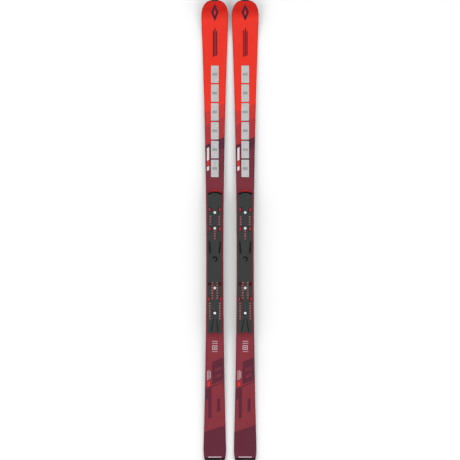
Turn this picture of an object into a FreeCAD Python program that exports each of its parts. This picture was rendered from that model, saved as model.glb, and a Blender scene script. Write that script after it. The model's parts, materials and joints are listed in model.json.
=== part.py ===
"""A pair of alpine race skis with binding plates, lying side by side on their bases.

Frame: millimetres, +Z up, tips towards +Y. The origin is on the ground, midway between the two skis and
midway between tip and tail. Each piece is drawn about the centre line of its own ski and placed from there.
"""
import FreeCAD, Part
import math
import os

import Sketcher
from FreeCAD import Placement, Rotation, Vector

os.makedirs("parts", exist_ok=True)
doc = FreeCAD.newDocument("race_skis")

# ---------------------------------------------------------------- driving dimensions, in millimetres

SIZES = [
    # the pair
    ("ski_length", 1818),  # along the ground, tip to tail
    ("ski_spacing", 120),  # between the two centre lines
    # outline, seen from above
    ("waist_width", 68),
    ("waist_place", -111),  # Y of the narrowest point
    ("front_sidecut", 23000),  # radius of the side ahead of the waist
    ("rear_sidecut", 26300),  # radius of the side behind the waist
    ("nose_length", 63),  # from the widest point of the shovel to the tip
    ("nose_fullness", 0.64),  # 0.55 is an ellipse, 1 is a square
    ("shoulder_blend", 32),  # from the end of the sidecut to the widest point
    ("tail_taper", 49),  # length of the narrowing tail
    ("tail_radius", 200),
    # side view
    ("camber", 4),
    ("tip_contact", 170),  # from the tip to the front contact line
    ("tail_contact", 40),
    ("tip_rocker", 340),  # radius of the base in the shovel
    ("tail_rocker", 148),
    ("deck_thickness", 15),  # whole ski under the plate
    ("shovel_thickness", 8.3),
    ("heel_thickness", 8.6),  # at the start of the tail
    ("tip_thickness", 7.4),
    ("tail_thickness", 7.4),
    ("deck_margin", 25),  # straight deck beyond each end of the plate
    ("deck_easing", 1500),  # radius where the deck turns down
    ("shovel_start", 184),  # from the tip to where the deck starts to rise
    ("tail_start", 59),
    # layers
    ("base_thickness", 1.4),
    ("edge_width", 2),
    ("edge_height", 2),
    ("flange_width", 5),
    ("lower_metal", 0.6),
    ("upper_metal", 0.6),
    ("upper_laminate", 0.5),
    ("cap_thickness", 0.9),
    ("shoulder_drop", 2.8),
    ("shoulder_inset", 4.5),
    ("core_to_tip", 139),
    ("core_to_tail", 49),
    # end pieces
    ("tail_guard_length", 8),
    ("tip_clip_length", 3.5),
    ("tip_clip_width", 26),
    ("guard_overhang", 0.3),
    ("tail_corner", 4),
    # shock modules
    ("module_length", 68),
    ("module_width", 29.4),
    ("module_pitch", 74.4),
    ("module_front", 615),  # centre of the first module
    ("module_proud", 0.3),
    ("module_rim", 0.35),
    ("module_corner", 1.5),
    ("module_gap", 0.3),  # clear of the well at the sides
    ("module_travel_gap", 0.8),  # clear of the well at the ends
    ("bed_thickness", 1),
    ("eye_width", 8),
    ("eye_length", 10),
    ("eye_spacing", 9.8),
    # binding plate
    ("plate_width", 57),
    ("plate_front", 146),
    ("plate_rear", -409),
    ("plate_thickness", 11),
    ("underlay_thickness", 1.5),
    ("plate_bevel", 1.6),
    ("lip_depth", 6.5),
    ("lip_height", 7.5),
    ("rear_arch", 6),
    ("underlay_peek", 1.2),  # ahead of the lip
    ("tongue_reach", 12),
    ("tongue_width", 34),
    # plate screws
    ("screw_head", 10.8),
    ("screw_head_height", 2.5),
    ("screw_shank", 6),
    ("screw_floor", 1.4),  # of core left under the screw
    ("screw_recess", 12.6),
    ("rear_screw_recess", 18),
    ("recess_depth", 3),
    ("hex_key", 5),
    ("hex_depth", 1.5),
    ("hole_clearance", 0.1),
    # drill pattern
    ("drill_hole", 4.1),
    ("bush_width", 5.8),
    ("bush_sink", 0.2),
    ("toe_half_track", 17.8),
    ("toe_row", 53),
    ("toe_pitch", 10.3),
    ("centre_row", -5),
    ("centre_pitch", 9.8),
    ("heel_inner_track", 10),
    ("heel_inner_row", -208),
    ("heel_inner_pitch", 10.15),
    ("heel_outer_track", 20.3),
    ("heel_outer_row", -289),
    ("heel_outer_pitch", 10.1),
    # slots and grommets
    ("slot_width", 9),
    ("slot_length", 17.5),
    ("slot_depth", 2),
    ("plug_width", 6),
    ("plug_length", 13),
    ("plug_sink", 0.8),
    ("grommet_width", 13.6),
    ("grommet_bore", 6.6),
    ("grommet_height", 2.2),
    ("grommet_track", 20),
    ("grommet_row", -213),
    # relief in the plate's top
    ("relief_depth", 1.3),
    ("mark_place", -114.6),
    ("mark_width", 21),
    ("mark_ring", 5),
    ("mark_depth", 2.2),
]

PLATE_SCREW_ROWS = (69, 7, -229, -328)  # the rearmost has the wide recess
SLOTS = ((17.7, 80), (17.7, 4.5), (20.8, -273))  # half track and row of each pair
MODULES = 6
TOE_ROWS = 4
CENTRE_ROWS = 4
HEEL_ROWS = 7
BIG = 400  # reach of a cutting outline beyond the ski

sheet = doc.addObject("Spreadsheet::Sheet", "Sizes")
for row, (alias, size) in enumerate(SIZES, start=1):
    sheet.set(f"A{row}", alias)
    sheet.set(f"B{row}", str(size))
    sheet.setAlias(f"B{row}", alias)
doc.recompute()


class Dim:
    """A length together with the sheet formula that gives it."""

    def __init__(self, number, formula):
        self.number = float(number)
        self.formula = formula

    def _join(self, other, sign, number):
        return Dim(number, f"({self.formula} {sign} {as_dim(other).formula})")

    def __add__(self, other):
        return self._join(other, "+", self.number + as_dim(other).number)

    def __sub__(self, other):
        return self._join(other, "-", self.number - as_dim(other).number)

    def __mul__(self, other):
        return self._join(other, "*", self.number * as_dim(other).number)

    def __truediv__(self, other):
        return self._join(other, "/", self.number / as_dim(other).number)

    def __rmul__(self, other):
        return as_dim(other) * self


def as_dim(value):
    """A plain number as a Dim; a Dim stays as it is."""
    return value if isinstance(value, Dim) else Dim(value, f"({float(value)!r})")


def cell(alias):
    """The sheet's cell as a Dim."""
    return Dim(sheet.get(alias), f"Sizes.{alias}")


def num(alias):
    """The sheet's cell as a plain number."""
    return float(sheet.get(alias))


# ---------------------------------------------------------------- heights and places that pieces share

DECK_TOP = cell("camber") + cell("deck_thickness")
PLATE_BOTTOM = DECK_TOP + cell("underlay_thickness")
PLATE_TOP = PLATE_BOTTOM + cell("plate_thickness")
SCREW_FOOT = cell("camber") + cell("edge_height") + cell("lower_metal") + cell("screw_floor")
HALF = num("ski_length") / 2
GUARD_Y = -HALF + num("tail_guard_length")
WIDEST_Y = HALF - num("nose_length")
WALL = num("edge_width") + num("flange_width")
LOWER_STACK = num("edge_height") + num("lower_metal")
UPPER_STACK = num("cap_thickness") + num("upper_laminate") + num("upper_metal")
DECK_FRONT = num("plate_front") + num("lip_depth") + num("deck_margin")
DECK_REAR = num("plate_rear") - num("deck_margin")
CORE_FRONT = HALF - num("core_to_tip")
CORE_REAR = -HALF + num("core_to_tail")
OVERRUN = 12  # the side view runs on past tip and tail, and the outline trims it

# ---------------------------------------------------------------- long curves


def line(a, b):
    return Part.LineSegment(a, b)


def arc_between(centre, radius, start, end, axis, side):
    """Arc about centre from one station to another along axis 0 (x) or 1 (y), on the given side of it."""

    def point(station):
        reach = side * math.sqrt(radius**2 - (station - centre[axis]) ** 2)
        other = centre[1 - axis] + reach
        return Vector(station, other, 0) if axis == 0 else Vector(other, station, 0)

    return Part.Arc(point(start), point((start + end) / 2), point(end))


def tangent_arc(start, direction, target):
    """Arc that leaves start along direction and ends on target."""
    chord = target - start
    normal = Vector(-direction.y, direction.x, 0).normalize()
    radius = chord.Length**2 / (2 * chord.dot(normal))
    centre = start + normal * radius
    middle = (start + target) / 2 - centre
    return Part.Arc(start, centre + middle.normalize() * abs(radius), target)


def base_line(rise):
    """The running base seen from the side, as (Y, Z), lifted by rise: rocker, camber, flat, camber, rocker."""
    camber = num("camber")
    front, rear = HALF - num("tip_contact"), -HALF + num("tail_contact")
    sweep_f = ((front - DECK_FRONT) ** 2 + camber**2) / (4 * camber)
    sweep_r = ((rear - DECK_REAR) ** 2 + camber**2) / (4 * camber)
    mid_f, mid_r = (front + DECK_FRONT) / 2, (rear + DECK_REAR) / 2
    tail, tip = num("tail_rocker"), num("tip_rocker")
    return [
        arc_between((rear, tail + rise), tail, -HALF - OVERRUN, rear, 0, -1),
        arc_between((rear, sweep_r + rise), sweep_r, rear, mid_r, 0, -1),
        arc_between((DECK_REAR, camber - sweep_r + rise), sweep_r, mid_r, DECK_REAR, 0, 1),
        line(Vector(DECK_REAR, camber + rise), Vector(DECK_FRONT, camber + rise)),
        arc_between((DECK_FRONT, camber - sweep_f + rise), sweep_f, DECK_FRONT, mid_f, 0, 1),
        arc_between((front, sweep_f + rise), sweep_f, mid_f, front, 0, -1),
        arc_between((front, tip + rise), tip, front, HALF + OVERRUN, 0, -1),
    ]


def base_height(station):
    """Height of the base at the tip or tail end."""
    at_tip = station > 0
    radius = num("tip_rocker") if at_tip else num("tail_rocker")
    reach = num("tip_contact") if at_tip else num("tail_contact")
    reach += abs(station) - HALF
    return radius - math.sqrt(radius**2 - reach**2)


def eased_corner(before, corner, after, radius):
    """Arc of the radius that rounds the corner between two straight runs."""
    into, out = (corner - before).normalize(), (after - corner).normalize()
    half_turn = into.getAngle(out) / 2
    back = radius * math.tan(half_turn)
    start, end = corner - into * back, corner + out * back
    inward = ((start + end) / 2 - corner).normalize()
    return Part.Arc(start, corner + inward * (radius / math.cos(half_turn) - radius), end)


def middle(curve):
    return curve.value((curve.FirstParameter + curve.LastParameter) / 2)


def top_line(drop):
    """The deck seen from the side, lowered by drop: tail, rear slope, flat, front slope, shovel."""
    deck = DECK_TOP.number
    ease = num("deck_easing")
    rear_end = Vector(-HALF + num("tail_start"), num("heel_thickness"), 0)
    rear_corner, front_corner = Vector(DECK_REAR, deck, 0), Vector(DECK_FRONT, deck, 0)
    front_end = Vector(HALF - num("shovel_start"), num("shovel_thickness"), 0)
    tip = Vector(HALF + OVERRUN, base_height(HALF + OVERRUN) + num("tip_thickness"), 0)
    tail = Vector(-HALF - OVERRUN, base_height(-HALF - OVERRUN) + num("tail_thickness"), 0)
    rear_round = eased_corner(rear_end, rear_corner, front_corner, ease)
    front_round = eased_corner(rear_corner, front_corner, front_end, ease)
    rear_arc = tangent_arc(rear_end, rear_end - rear_corner, tail)
    front_arc = tangent_arc(front_end, front_end - front_corner, tip)
    edges = [
        Part.Arc(tail, middle(rear_arc), rear_end),
        line(rear_end, rear_round.StartPoint),
        rear_round,
        line(rear_round.EndPoint, front_round.StartPoint),
        front_round,
        line(front_round.EndPoint, front_end),
        front_arc,
    ]
    for edge in edges:
        edge.translate(Vector(0, -drop, 0))
    return edges


def side_outline(low, high):
    """Closed side view between two lines that run from tail to tip."""
    ends = [line(low[0].StartPoint, high[0].StartPoint), line(low[-1].EndPoint, high[-1].EndPoint)]
    return low + high + ends


def flank(inset):
    """One long side from tail to tip, on the +X side and set in from the outline.

    Each stretch is an arc: centre, radius, first and last Y, and the side of the centre that it lies on.
    """
    waist, place = num("waist_width") / 2, num("waist_place")
    front, rear, end = num("front_sidecut"), num("rear_sidecut"), num("tail_radius")
    taper_y, blend_y = -HALF + num("tail_taper"), WIDEST_Y - num("shoulder_blend")
    rear_centre, front_centre = Vector(waist + rear, place), Vector(waist + front, place)
    rear_join = Vector(rear_centre.x - math.sqrt(rear**2 - (taper_y - place) ** 2), taper_y)
    front_join = Vector(front_centre.x - math.sqrt(front**2 - (blend_y - place) ** 2), blend_y)
    inward_rear = (rear_join - rear_centre).normalize()
    inward_front = (front_join - front_centre).normalize()
    blend = (WIDEST_Y - blend_y) / abs(inward_front.y)
    end_centre = rear_join + inward_rear * end
    blend_centre = front_join + inward_front * blend
    start_y = (rear_join - inward_rear * -inset).y
    stop_y = (front_join - inward_front * -inset).y
    return [
        (end_centre, end - inset, -HALF, start_y, 1),
        (rear_centre, rear + inset, start_y, place, -1),
        (front_centre, front + inset, place, stop_y, -1),
        (blend_centre, blend - inset, stop_y, WIDEST_Y, 1),
    ]


def half_nose(inset):
    """The nose on the +X side, from the widest point to the tip."""
    wide = trimmed(inset, WIDEST_Y - 1, WIDEST_Y)[-1].EndPoint
    tip = Vector(0, HALF - inset)
    full = num("nose_fullness")
    curve = Part.BezierCurve()
    up = wide + Vector(0, full * (tip.y - wide.y))
    across = tip + Vector(full * wide.x, 0)
    curve.setPoles([wide, up, across, tip])
    return curve.toBSpline()


def trimmed(inset, low, high):
    """The arcs of one long side between two stations along Y."""
    kept = []
    for centre, radius, first, last, side in flank(inset):
        first, last = max(first, low), min(last, high)
        if last - first > 1e-6:
            kept.append(arc_between(centre, radius, first, last, 1, side))
    return kept


def mirrored(curves):
    """The same curves on the -X side."""
    copies = [curve.copy() for curve in curves]
    for copy in copies:
        copy.mirror(Vector(0, 0, 0), Vector(0, 1, 0))
    return copies


def ends_of(curves):
    return curves[0].StartPoint, curves[-1].EndPoint


def plan_to_tip(inset, low, nose_inset=0):
    """Closed outline from a square rear end to the tip, where the nose may stand further out."""
    side = trimmed(inset, low, WIDEST_Y)
    nose = half_nose(nose_inset)
    run = side + [nose]
    if inset != nose_inset:
        run.append(line(side[-1].EndPoint, nose.StartPoint))
    return run + mirrored(run) + [line(mirrored(side)[0].StartPoint, side[0].StartPoint)]


def plan_between(inset, low, high):
    """Closed outline between two square ends."""
    side = trimmed(inset, low, high)
    other = mirrored(side)
    caps = [line(a, b) for a, b in zip(ends_of(other), ends_of(side))]
    return side + other + caps


def plan_strip(outer, inner, low, high, sign):
    """Closed outline of a strip along one side, between two insets."""
    strip = [trimmed(inset, low, high) for inset in (outer, inner)]
    caps = [line(a, b) for a, b in zip(ends_of(strip[0]), ends_of(strip[1]))]
    outline = strip[0] + strip[1] + caps
    return outline if sign > 0 else mirrored(outline)


# ---------------------------------------------------------------- sketches and features


def new_body(label, side=None):
    """A body; a piece of a ski stands on that ski's centre line."""
    body = doc.addObject("PartDesign::Body", label)
    body.Label = label
    body.AllowCompound = True
    if side:
        place_on(body, side)
    return body


def place_on(piece, side):
    """Stands a piece on the left (-1) or right (+1) ski."""
    piece.Placement = Placement(Vector(side * num("ski_spacing") / 2, 0, 0), Rotation())
    piece.setExpression("Placement.Base.x", f"{side} * Sizes.ski_spacing / 2")


def new_sketch(body, role, height=None):
    """A sketch on one of the body's own planes, raised to a height."""
    sketch = body.newObject("Sketcher::SketchObject", f"{body.Name}_sketch")
    plane = next(o for o in body.Origin.OriginFeatures if o.Role == role)
    sketch.AttachmentSupport = [(plane, "")]
    sketch.MapMode = "FlatFace"
    if height is not None:
        sketch.AttachmentOffset = Placement(Vector(0, 0, height.number), Rotation())
        sketch.setExpression("AttachmentOffset.Base.z", height.formula)
    return sketch


def pin_point(sketch, geometry, point, x, y):
    """Holds a point of the sketch at its place from the origin."""
    for kind, value in (("DistanceX", x), ("DistanceY", y)):
        index = sketch.addConstraint(Sketcher.Constraint(kind, -1, 1, geometry, point, value.number))
        sketch.setExpression(f"Constraints[{index}]", value.formula)


def add_circle(sketch, x, y, width):
    x, y, radius = as_dim(x), as_dim(y), width / 2
    shape = Part.Circle(Vector(x.number, y.number, 0), Vector(0, 0, 1), radius.number)
    circle = sketch.addGeometry(shape, False)
    index = sketch.addConstraint(Sketcher.Constraint("Radius", circle, radius.number))
    sketch.setExpression(f"Constraints[{index}]", radius.formula)
    pin_point(sketch, circle, 3, x, y)


def add_polygon(sketch, points):
    """A closed outline through points whose coordinates are Dims or numbers."""
    points = [(as_dim(x), as_dim(y)) for x, y in points]
    spots = [Vector(x.number, y.number, 0) for x, y in points]
    first = sketch.GeometryCount
    count = len(spots)
    for i in range(count):
        sketch.addGeometry(line(spots[i], spots[(i + 1) % count]), False)
    for i, (x, y) in enumerate(points):
        after = first + (i + 1) % count
        sketch.addConstraint(Sketcher.Constraint("Coincident", first + i, 2, after, 1))
        pin_point(sketch, first + i, 1, x, y)


def add_box(sketch, x, y, width, length):
    """A rectangle about a centre."""
    x, y = as_dim(x), as_dim(y)
    left, right = x - width / 2, x + width / 2
    rear, front = y - length / 2, y + length / 2
    add_polygon(sketch, [(left, rear), (right, rear), (right, front), (left, front)])


def surround(sketch):
    """A rectangle far outside the ski, so that a cut keeps what lies inside the other outlines."""
    corners = [(-BIG, -HALF - BIG), (BIG, -HALF - BIG), (BIG, HALF + BIG), (-BIG, HALF + BIG)]
    spots = [Vector(x, y, 0) for x, y in corners]
    for i in range(4):
        sketch.addGeometry(line(spots[i], spots[(i + 1) % 4]), False)


def built(feature):
    """Recomputes the document and stops the build if the feature failed."""
    doc.recompute()
    if "Invalid" in feature.State or "Error" in feature.State:
        raise RuntimeError(f"{feature.Label}: {feature.getStatusString()}")
    return feature


def pad(body, sketch, length, symmetric=False):
    feature = body.newObject("PartDesign::Pad", f"{body.Name}_pad")
    feature.Profile = sketch
    feature.SideType = "Symmetric" if symmetric else "One side"
    feature.Length = length.number
    feature.setExpression("Length", length.formula)
    return built(feature)


def pocket(body, sketch, depth=None, upward=False, symmetric=False):
    """A cut that must remove material, or the build stops."""
    before = body.Shape.Volume
    feature = body.newObject("PartDesign::Pocket", f"{body.Name}_pocket")
    feature.Profile = sketch
    feature.SideType = "Symmetric" if symmetric else "One side"
    feature.Reversed = upward
    if depth is None:
        feature.Type = "ThroughAll"
    else:
        feature.Type = "Length"
        feature.Length = depth.number
        feature.setExpression("Length", depth.formula)
    built(feature)
    if not body.Shape.Volume < before - 1e-6:
        raise RuntimeError(f"{feature.Label} cuts nothing")
    return feature


def cut_to_plan(body, *outlines, boxes=()):
    """Trims a body to what lies inside the outlines and boxes, seen from above."""
    sketch = new_sketch(body, "XY_Plane")
    surround(sketch)
    for outline in outlines:
        sketch.addGeometry(outline, False)
    for box in boxes:
        add_box(sketch, *box)
    return pocket(body, sketch, symmetric=True)


def cut_windows(body, boxes=(), circles=()):
    """Cuts rectangles and round holes right through a body."""
    sketch = new_sketch(body, "XY_Plane")
    for box in boxes:
        add_box(sketch, *box)
    for circle in circles:
        add_circle(sketch, *circle)
    return pocket(body, sketch, symmetric=True)


def layer(label, low, high, side=None):
    """A body between two lines of the side view, wider than the ski."""
    body = new_body(label, side)
    sketch = new_sketch(body, "YZ_Plane")
    sketch.addGeometry(side_outline(low, high), False)
    pad(body, sketch, as_dim(BIG), symmetric=True)
    return body


def chamfer(body, edges, inset, drop):
    """A bevel measured across the top and down the side."""
    base = body.Tip
    feature = body.newObject("PartDesign::Chamfer", f"{body.Name}_chamfer")
    feature.Base = (base, edges)
    feature.ChamferType = "Two distances"
    feature.Size = inset.number
    feature.setExpression("Size", inset.formula)
    feature.Size2 = drop.number
    feature.setExpression("Size2", drop.formula)
    built(feature)


def rounded(body, edges, radius):
    base = body.Tip
    feature = body.newObject("PartDesign::Fillet", f"{body.Name}_fillet")
    feature.Base = (base, edges)
    feature.Radius = radius.number
    feature.setExpression("Radius", radius.formula)
    built(feature)


def edge_names(body, wanted):
    """Names of a body's edges for which wanted(edge, middle point) is true."""
    names = []
    for index, edge in enumerate(body.Shape.Edges, start=1):
        if wanted(edge, edge.valueAt((edge.FirstParameter + edge.LastParameter) / 2)):
            names.append(f"Edge{index}")
    return names


def combine(kind, label, base, tool, side=None):
    """A Part::Cut or Part::Common of two objects, which may stand on one ski."""
    result = doc.addObject(f"Part::{kind}", label)
    result.Base = base
    result.Tool = tool
    built(result)
    if side:
        place_on(result, side)
    return result


# ---------------------------------------------------------------- openings that several layers share


def clip_window():
    """The notch in the nose that the tip clip fills."""
    reach = cell("tip_clip_length") * 2
    middle_y = cell("ski_length") / 2 - cell("tip_clip_length") + reach / 2
    return (0, middle_y, cell("tip_clip_width"), reach)


def module_windows(side_gap, end_gap):
    """The six module places, grown by a gap at the sides and at the ends."""
    width = cell("module_width") + side_gap * 2
    length = cell("module_length") + end_gap * 2
    return [(0, cell("module_front") - cell("module_pitch") * i, width, length) for i in range(MODULES)]


def wells():
    return module_windows(cell("module_gap"), cell("module_travel_gap"))


def screw_bores():
    width = cell("screw_shank") + cell("hole_clearance") * 2
    return [(0, row, width) for row in PLATE_SCREW_ROWS]


# ---------------------------------------------------------------- shapes that both skis are cut from


def shouldered_blank(label, drop):
    """Everything between the lower metal and the deck, lowered by drop, with its bevelled shoulders."""
    body = layer(label, base_line(LOWER_STACK), top_line(drop))
    cut_to_plan(body, plan_to_tip(0, GUARD_Y))
    deck = DECK_TOP.number - drop

    def on_shoulder(edge, spot):
        """The level stretch ahead of the waist, on each side; the bevel follows on from it to both ends."""
        return abs(spot.z - deck) < 1e-3 and spot.y > num("waist_place") and edge.BoundBox.YLength > 1

    names = edge_names(body, on_shoulder)
    chamfer(body, names, cell("shoulder_inset"), cell("shoulder_drop"))
    cut_windows(body, boxes=[clip_window()])
    return body


cap_outer = shouldered_blank("cap_outer", 0)
cut_windows(cap_outer, boxes=wells(), circles=screw_bores())
cap_inner = shouldered_blank("cap_inner", num("cap_thickness"))

upper_layers = layer("upper_layers", top_line(UPPER_STACK), top_line(0))
cut_to_plan(upper_layers, plan_between(WALL, GUARD_Y, WIDEST_Y))

base_blank = layer("base_blank", base_line(0), base_line(num("base_thickness")))
cut_to_plan(base_blank, plan_to_tip(num("edge_width"), GUARD_Y))

spade = layer("spade", base_line(0), top_line(0))
cut_to_plan(spade, plan_to_tip(WALL, CORE_FRONT))
tip_block = combine("Common", "tip_block", cap_inner, spade)

wall_blanks, edge_blanks = {}, {}
for sign, hand in ((-1, "minus"), (1, "plus")):
    strip = plan_strip(0, WALL, GUARD_Y, WIDEST_Y, sign)
    wall_blanks[sign] = layer(f"wall_blank_{hand}", base_line(0), top_line(0))
    cut_to_plan(wall_blanks[sign], strip)
    edge_blanks[sign] = layer(f"edge_blank_{hand}", base_line(0), base_line(num("edge_height")))
    cut_to_plan(edge_blanks[sign], strip)

# ---------------------------------------------------------------- the laminated ski


def running_base(label, side):
    body = layer(label, base_line(0), base_line(num("base_thickness")), side)
    cut_to_plan(body, plan_to_tip(num("edge_width"), GUARD_Y))
    cut_windows(body, boxes=[clip_window()])
    return body


def lower_glass(label, side):
    """Fills the space between the two edge flanges."""
    body = layer(label, base_line(num("base_thickness")), base_line(num("edge_height")), side)
    cut_to_plan(body, plan_to_tip(WALL, GUARD_Y))
    cut_windows(body, boxes=[clip_window()])
    return body


def lower_titanal(label, side):
    body = layer(label, base_line(num("edge_height")), base_line(LOWER_STACK), side)
    cut_to_plan(body, plan_to_tip(0, GUARD_Y))
    cut_windows(body, boxes=[clip_window()])
    return body


def wood_core(label, side):
    """Tapered core, with blind holes for the plate screws."""
    body = layer(label, base_line(LOWER_STACK), top_line(UPPER_STACK), side)
    cut_to_plan(body, plan_between(WALL, CORE_REAR, CORE_FRONT))
    sketch = new_sketch(body, "XY_Plane", SCREW_FOOT)
    for bore in screw_bores():
        add_circle(sketch, *bore)
    pocket(body, sketch, upward=True)
    return body


def tail_filler(label, side):
    body = layer(label, base_line(LOWER_STACK), top_line(UPPER_STACK), side)
    cut_to_plan(body, plan_between(WALL, GUARD_Y, CORE_REAR))
    return body


def upper_sheet(label, side, low_drop, high_drop):
    """A layer between the sidewalls, with the module windows and the screw holes."""
    body = layer(label, top_line(low_drop), top_line(high_drop), side)
    cut_to_plan(body, plan_between(WALL, GUARD_Y, WIDEST_Y))
    cut_windows(body, boxes=wells(), circles=screw_bores())
    return body


def tail_protector(label, side):
    """Full-width block behind the laminate, its rear corners rounded."""
    body = layer(label, base_line(0), top_line(-num("guard_overhang")), side)
    cut_to_plan(body, plan_between(0, -HALF, GUARD_Y))
    corners = edge_names(body, lambda edge, spot: edge.BoundBox.ZLength > 5 and spot.y < -HALF + 0.5)
    rounded(body, corners, cell("tail_corner"))
    return body


def tip_protector(label, side):
    """Clip that fills the notch in the nose and stands proud above and below."""
    overhang = num("guard_overhang")
    body = layer(label, base_line(-overhang), top_line(-overhang), side)
    cut_to_plan(body, plan_to_tip(0, GUARD_Y))
    cut_to_plan(body, boxes=[clip_window()])
    return body


# ---------------------------------------------------------------- shock modules


def module_beds(label, side):
    """Six elastomer pads that fill the floors of the wells."""
    high = UPPER_STACK - num("bed_thickness")
    body = layer(label, top_line(UPPER_STACK), top_line(high), side)
    cut_to_plan(body, boxes=wells())
    return body


def shock_module(label, side, place):
    """Flat steel plate with rounded corners, a fine bevelled rim and two eyes."""
    low = UPPER_STACK - num("bed_thickness")
    body = layer(label, top_line(low), top_line(-num("module_proud")), side)
    x, y, width, length = place
    cut_to_plan(body, boxes=[place])
    corners = edge_names(body, lambda edge, spot: edge.BoundBox.XLength + edge.BoundBox.YLength < 0.2)
    rounded(body, corners, cell("module_corner"))
    middle_z = body.Shape.BoundBox.Center.z

    def on_rim(edge, spot):
        box = edge.BoundBox
        slope = (top_slope() * (spot.y - y.number)) + middle_z
        return spot.z > slope and box.XLength + box.YLength > 0.2

    chamfer(body, edge_names(body, on_rim), cell("module_rim"), cell("module_rim"))
    eyes = [(cell("eye_spacing") * sign / 2, y, cell("eye_width"), cell("eye_length")) for sign in (-1, 1)]
    cut_windows(body, boxes=eyes)
    return body


def top_slope():
    """Rise of the front deck for each millimetre towards the tip."""
    run = (HALF - num("shovel_start")) - DECK_FRONT
    return (num("shovel_thickness") - DECK_TOP.number) / run


# ---------------------------------------------------------------- binding plate

# front ends, from the side to the centre: share of the plate's half width, and Y from the foremost point
PLATE_LINE = ((1.0, -6.0), (0.72, -6.0), (0.33, -0.2), (0.2, 0.0))
LIP_LINE = ((1.0, -6.0), (0.78, -4.4), (0.5, -2.0), (0.28, 0.0))
# rear end, from the centre to the side: share of the half width, and share of the arch
ARCH = ((0.38, 1.0), (0.56, 0.15), (0.86, 0.0), (1.0, 0.3))
# tongue of the underlay: share of its half width, and share of its reach
TONGUE = ((1.0, 0.2), (0.8, 0.56), (0.5, 0.86), (0.2, 1.0))
# recesses in the plate's top, corner by corner on the +X side
RELIEF = (
    ((25, -45), (18.5, -45), (14, -92), (22, -92)),  # slanting, behind the toe
    ((4.5, -351), (7, -351), (15.8, -400), (11, -400)),  # narrow, spreading towards the rear
)
MARK_SPAN = (-80, 160)  # degrees from +X, the closed part of the centre mark


def both_sides(points):
    """A symmetric outline from the points on its +X side, in order."""
    return points + [(x * -1, y) for x, y in reversed(points)]


def front_points(shape, reach):
    """A front line whose foremost point is ahead of the plate by reach."""
    half = cell("plate_width") / 2
    return [(half * share, cell("plate_front") + y + reach) for share, y in shape]


def rear_points():
    half = cell("plate_width") / 2
    return [(half * share, cell("plate_rear") + cell("rear_arch") * rise) for share, rise in ARCH]


def plate_underlay(label, side):
    """Damping layer under plate and lip, with a tongue that shows in front."""
    body = new_body(label, side)
    sketch = new_sketch(body, "XY_Plane", DECK_TOP)
    front = front_points(LIP_LINE, cell("lip_depth") + cell("underlay_peek"))
    add_polygon(sketch, both_sides(rear_points() + front))
    pad(body, sketch, cell("underlay_thickness"))
    sketch = new_sketch(body, "XY_Plane", DECK_TOP)
    half, back, reach = cell("tongue_width") / 2, cell("plate_front"), cell("tongue_reach")
    add_polygon(sketch, both_sides([(half * share, back + reach * part) for share, part in TONGUE]))
    pad(body, sketch, cell("underlay_thickness"))
    cut_windows(body, circles=screw_bores())
    return body


def plate_front_lip(label, side):
    """Rubber lip that closes the plate's front end."""
    body = new_body(label, side)
    sketch = new_sketch(body, "XY_Plane", PLATE_BOTTOM)
    ahead = front_points(LIP_LINE, cell("lip_depth"))
    behind = front_points(PLATE_LINE, as_dim(0))
    ring = ahead + [(x * -1, y) for x, y in reversed(ahead)]
    ring += [(x * -1, y) for x, y in behind] + list(reversed(behind))
    add_polygon(sketch, ring)
    pad(body, sketch, cell("lip_height"))
    return body


def drill_rows(first, pitch, rows, tracks):
    """Centres of a drill pattern."""
    return [(track, cell(first) - cell(pitch) * row) for row in range(rows) for track in tracks]


def drill_centres():
    toe, inner, outer = cell("toe_half_track"), cell("heel_inner_track"), cell("heel_outer_track")
    return (
        drill_rows("toe_row", "toe_pitch", TOE_ROWS, (toe * -1, toe))
        + drill_rows("centre_row", "centre_pitch", CENTRE_ROWS, (as_dim(0),))
        + drill_rows("heel_inner_row", "heel_inner_pitch", HEEL_ROWS, (inner * -1, inner))
        + drill_rows("heel_outer_row", "heel_outer_pitch", HEEL_ROWS, (outer * -1, outer))
    )


def grommet_centres():
    return [(cell("grommet_track") * sign, cell("grommet_row")) for sign in (-1, 1)]


def slot_boxes():
    width, length = cell("slot_width"), cell("slot_length")
    return [(track * sign, row, width, length) for track, row in SLOTS for sign in (-1, 1)]


def plug_boxes():
    """The plugs stand at the outer side of their slots."""
    outward = (cell("slot_width") - cell("plug_width")) / 2
    width, length = cell("plug_width"), cell("plug_length")
    return [((outward + track) * sign, row, width, length) for track, row in SLOTS for sign in (-1, 1)]


def sink(body, depth, boxes=(), circles=(), polygons=()):
    """Recesses of one depth in the plate's top."""
    sketch = new_sketch(body, "XY_Plane", PLATE_TOP)
    for box in boxes:
        add_box(sketch, *box)
    for circle in circles:
        add_circle(sketch, *circle)
    for polygon in polygons:
        add_polygon(sketch, polygon)
    pocket(body, sketch, depth=depth)


def centre_mark(body):
    """Open ring that marks the boot's centre."""
    sketch = new_sketch(body, "XY_Plane", PLATE_TOP)
    outer = num("mark_width") / 2
    inner = outer - num("mark_ring")
    start, stop = [math.radians(angle) for angle in MARK_SPAN]
    centre, axis = Vector(0, num("mark_place")), Vector(0, 0, 1)
    arcs = [Part.ArcOfCircle(Part.Circle(centre, axis, radius), start, stop) for radius in (outer, inner)]
    caps = [line(a, b) for a, b in zip(ends_of([arcs[0]]), ends_of([arcs[1]]))]
    sketch.addGeometry(arcs + caps, False)
    pocket(body, sketch, depth=cell("mark_depth"))


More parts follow.
